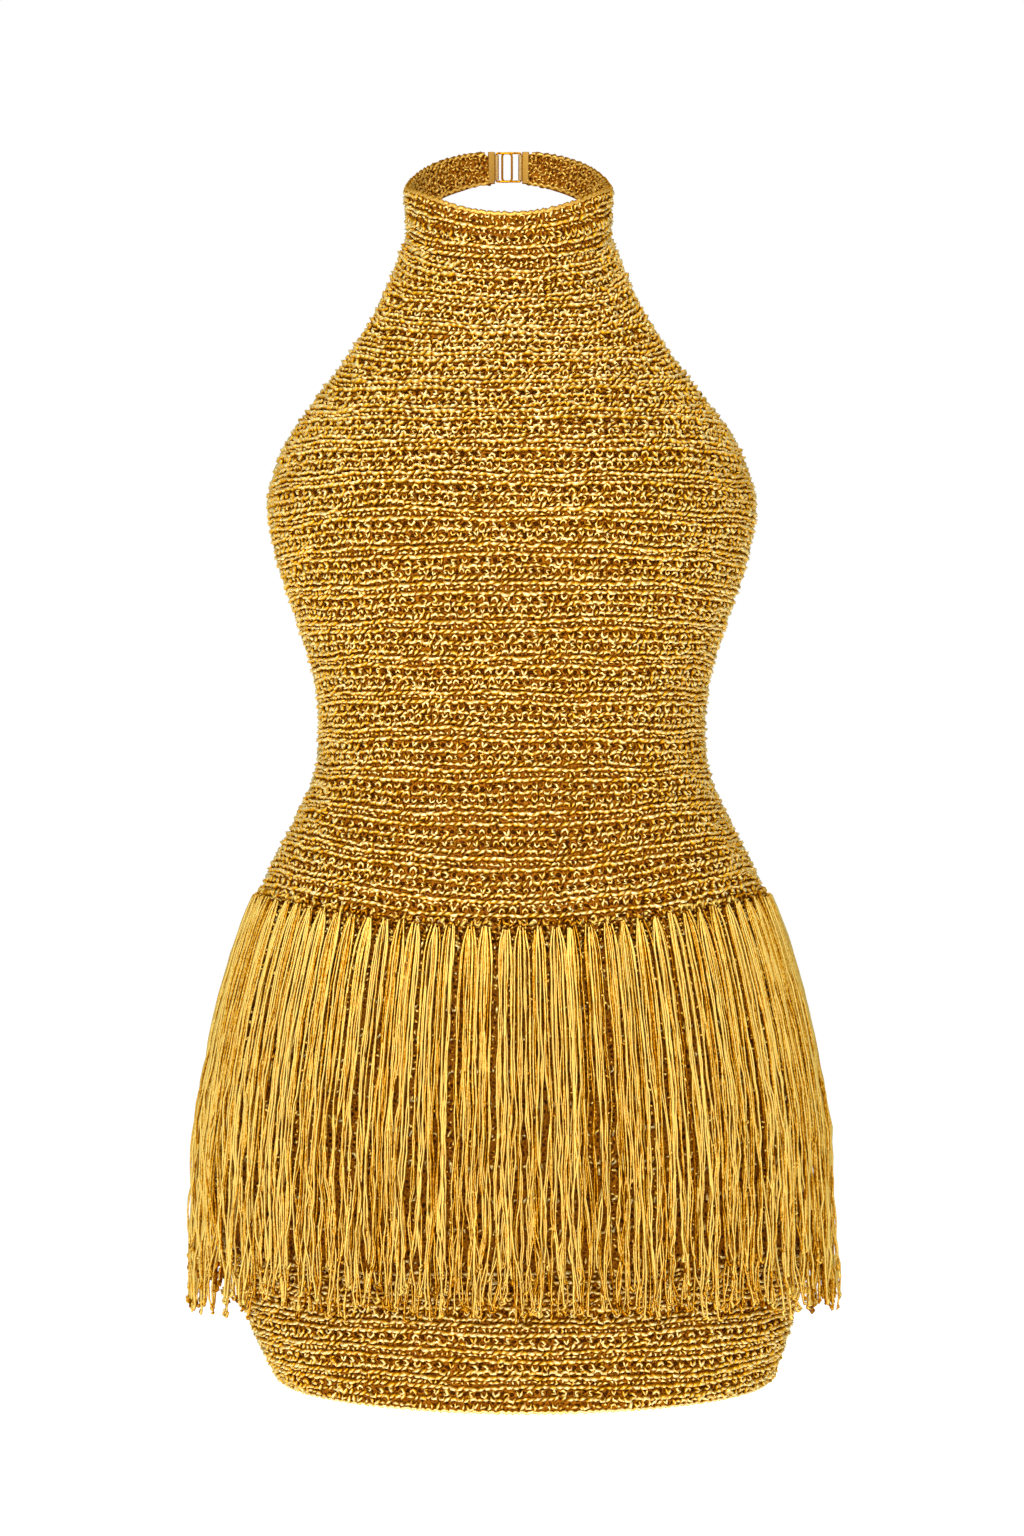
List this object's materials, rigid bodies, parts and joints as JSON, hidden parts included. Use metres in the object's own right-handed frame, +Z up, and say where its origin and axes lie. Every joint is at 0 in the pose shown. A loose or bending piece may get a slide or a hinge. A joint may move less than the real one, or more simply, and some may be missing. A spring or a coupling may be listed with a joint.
{
  "type": "crochet dress",
  "caption": "Hollow crochet halter mini dress with a mock-neck band, a metal clasp at the nape, a low scooped back and long fringe round the hips.",
  "frame": {"origin": "centre of the neck ring, where the wearer holds the dress", "axes": "+Z up along the wearer, the front faces -Y, the wearer's left side is at +X"},
  "size_m": [0.4128, 0.2698, 0.8098],
  "materials": {
    "crochet": "gold metallic yarn, crocheted in raised rows",
    "fringe": "the same gold yarn, hanging as loose threads",
    "clasp": "satin gold-coloured metal"
  },
  "bodies": {
    "root": {"front_panel": "crochet", "back_panel": "crochet", "collar_band": "crochet", "clasp_plate_right": "clasp", "clasp_plate_left": "clasp", "clasp_eye": "clasp", "clasp_hook": "clasp", "fringe_front": "fringe", "fringe_back": "fringe"}
  },
  "joints": []
}
